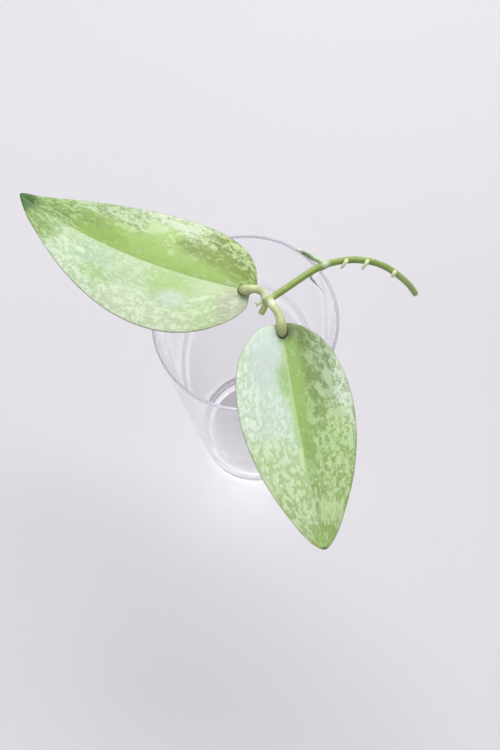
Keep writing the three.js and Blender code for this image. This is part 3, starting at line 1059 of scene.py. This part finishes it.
YOUNG_LEAVES = (
    (
        "young_leaf_back_blade",
        "young_leaf_back",
        [
            (36.2, 21.4, 187.2), (35.2, 22.8, 187.3), (33.4, 24.3, 186.8),
            (30.6, 26.5, 186.4), (27.9, 28.8, 186.2), (25.4, 30.8, 186.2),
        ],
        [(0, 1.5), (2.5, 1.75), (6, 1.7), (10, 1.35), (14, 0.75)],
    ),
    (
        "young_leaf_inside_blade",
        "young_leaf_inside",
        [
            (30.2, 18.0, 186.2), (30.3, 17.1, 185.3), (30.9, 16.1, 184.2),
            (32.3, 14.8, 182.7), (34.1, 13, 181.2), (35.9, 11, 180),
        ],
        [(0, 0.9), (2.4, 1.0), (4.2, 0.6), (7, 0.34), (10, 0.3)],
    ),
)

young_green, tree, shader = new_material(
    "young leaf green", Specular_IOR_Level=0.4, Subsurface_Weight=0.15, Subsurface_Scale=0.001
)
place = placed(tree)
share_out = attribute(tree, "share_out")
colour, streak, _, height = skin_on(tree, place, 0.3, (138, 166, 108), (164, 190, 142))
mottle = noise(tree, place, 900.0, 3.0, 0.6).ramp(-0.16, 0.02)
middle = share_out.ramp(0.25, 0.55) * (1 - share_out.ramp(0.7, 0.9))
colour = blended(tree, middle * mottle, colour, tone(112, 140, 94))
colour = blended(tree, 1 - share_out.ramp(0.15, 0.5), colour, tone(184, 209, 164))
colour = blended(tree, share_out.ramp(0.7, 0.92), colour, tone(222, 226, 204))
# the one that hangs in the glass has withered to a pale thread
withered = near_point(tree, place, (35.6, 11.4, 180.4), 6.4, 0.5)
colour = blended(tree, withered, colour, tone(206, 212, 188))
surface(tree, shader, colour, 0.48 + streak * 0.2, height, 0.0001, 0.6)

for name, node_name, route, girth_stops in YOUNG_LEAVES:
    line, length = smooth_route(route, 0.25)
    girths = girths_along(line, lambda d: mixed_between(girth_stops, d), 0.0, 1.2)
    inputs = {"Sides": 20, "Flatness": 0.55, "Uneven": 0.0002, "Material": young_green}
    young = grown_along(name, [line], [girths], inputs)
    mark_share(young, "share_out", length)
    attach(young, "root")
    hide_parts(node_name)

# ROOTS
# Stubs of air roots, cream and dry: three come out of the vine's upper side and bend down over it,
# and a forked one sits on the knob between the leaves.

ROOT_SHARES = (0.49, 0.605, 0.78)
ROOT_HANGS = (1.0, 1.8, 0.2)
ROOT_REACHES = (1.0, 0.9, 0.35)
ROOT_CLEAR = VINE_RADIUS + 0.35
FORK_ROUTES = (
    [(9.6, 6.7, 188.2), (8.2, 6.4, 188), (6.2, 6.1, 187.8), (4.6, 6.6, 188.2)],
    [(8.9, 6.4, 187.9), (7.4, 6.2, 187.8), (6.2, 5.7, 187.4), (5.2, 5.2, 186.8)],
)

root_cream, tree, shader = new_material(
    "root cream", Specular_IOR_Level=0.3, Subsurface_Weight=0.15, Subsurface_Scale=0.0008
)
place = placed(tree)
colour, streak, _, height = skin_on(tree, place, 0.4, (204, 212, 168), (224, 229, 198))
near_vine = 1 - attribute(tree, "along").ramp(0.4, 1.8)
colour = blended(tree, near_vine * 0.8, colour, tone(168, 192, 122))
surface(tree, shader, colour, 0.62 + streak * 0.2, height, 0.00012, 0.8)

root_routes = []
for root_share, hang, spread in zip(ROOT_SHARES, ROOT_HANGS, ROOT_REACHES):
    on_vine = vine_line[round(root_share * (len(vine_line) - 1))]
    steps = [
        (0.7, -0.2 * ROOT_CLEAR, 0.4 * ROOT_CLEAR),
        (0.2, -0.72 * ROOT_CLEAR, 0.97 * ROOT_CLEAR),
        (-1.2 * spread, -ROOT_CLEAR - 0.9 * spread, 0.7),
        (-2.3 * spread, -ROOT_CLEAR - 1.5 * spread, -hang),
    ]
    root_routes.append([tuple(a + b for a, b in zip(on_vine, step)) for step in steps])

for name, nodes_replaced, routes, stops in (
    (
        "vine_roots",
        ("vine_root_near", "vine_root_middle", "vine_root_far"),
        root_routes,
        [(0, 0.75), (1.2, 0.92), (3.0, 0.85), (5.0, 0.5)],
    ),
    ("node_root_fork", ("node_root",), FORK_ROUTES, [(0, 0.6), (2.0, 0.62), (4.0, 0.5), (6.0, 0.35)]),
):
    lines = [smooth_route(route, 0.2)[0] for route in routes]
    girths = [girths_along(line, lambda d: mixed_between(stops, d), 0.0, 0.5) for line in lines]
    inputs = {"Sides": 16, "Flatness": 1.0, "Uneven": 0.00022, "Material": root_cream}
    roots = grown_along(name, lines, girths, inputs)
    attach(roots, "root")
    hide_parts(*nodes_replaced)

# FLOOR AND LIGHT
# A plain pale floor under the glass, one big soft light from the far right, a weaker one from the near left
# and pale light all round.

FLOOR_HALF = 3.0
AIM = Vector((0.0, 0.0, 0.18))
ALL_ROUND = 0.535
FAR_GLOW = 1.7
BOUNCES = 256

floor_paint, tree, shader = new_material("pale floor", Specular_IOR_Level=0.2)
place = placed(tree)
cloud = noise(tree, place, 1.2, 2.0)
colour = blended(tree, (cloud + 0.4).ramp(0.0, 0.8), tone(204, 201, 204), tone(212, 209, 213))
feed(tree, shader.inputs["Base Color"], colour)
feed(tree, shader.inputs["Roughness"], 0.75 + cloud * 0.1)
floor_mesh = bpy.data.meshes.new("floor")
corners = [(-1, -1), (1, -1), (1, 1), (-1, 1)]
floor_mesh.from_pydata([(x * FLOOR_HALF, y * FLOOR_HALF, 0.0) for x, y in corners], [], [(0, 1, 2, 3)])
floor_mesh.materials.append(floor_paint)
floor = bpy.data.objects.new("floor", floor_mesh)
bpy.context.scene.collection.objects.link(floor)

for name, way, distance, size, power, colour in (
    ("main light", (0.18, 0.54, 0.82), 1.3, (1.2, 0.6), 14.0, (1.0, 0.99, 0.97)),
    ("side light", (-0.75, -0.35, 0.6), 1.8, (1.4, 1.4), 4.3, (0.96, 0.98, 1.0)),
):
    panel = bpy.data.lights.new(name, "AREA")
    panel.shape = "RECTANGLE"
    panel.size, panel.size_y = size
    panel.energy = power
    panel.color = colour
    lamp = bpy.data.objects.new(name, panel)
    toward = Vector(way).normalized()
    facing_glass = toward.to_track_quat("Z", "Y").to_matrix().to_4x4()
    lamp.matrix_world = Matrix.Translation(AIM + toward * distance) @ facing_glass
    bpy.context.scene.collection.objects.link(lamp)

# the light all round is brightest low at the far side
surroundings = bpy.data.worlds.new("surroundings")
surroundings.use_nodes = True
tree = surroundings.node_tree
backdrop = tree.nodes["Background"]
backdrop.inputs["Color"].default_value = (0.94, 0.955, 1.0, 1.0)
looking = tree.nodes.new("ShaderNodeTexCoord").outputs["Generated"]
far_side = tuple(Vector((0.2, 0.93, 0.32)).normalized())
facing = node(tree, "ShaderNodeVectorMath", {0: looking, 1: far_side}, operation="DOT_PRODUCT")
glow = Amount(tree, facing.outputs["Value"]).ramp(0.72, 0.97)
feed(tree, backdrop.inputs["Strength"], ALL_ROUND + glow * FAR_GLOW)

# light runs down inside the glass wall from rim to foot, and takes many turns to come out
scene = bpy.context.scene
scene.world = surroundings
scene.view_settings.view_transform = "Standard"
scene.cycles.max_bounces = BOUNCES
scene.cycles.transmission_bounces = BOUNCES
scene.cycles.glossy_bounces = BOUNCES
scene.cycles.caustics_reflective = False
scene.cycles.caustics_refractive = True
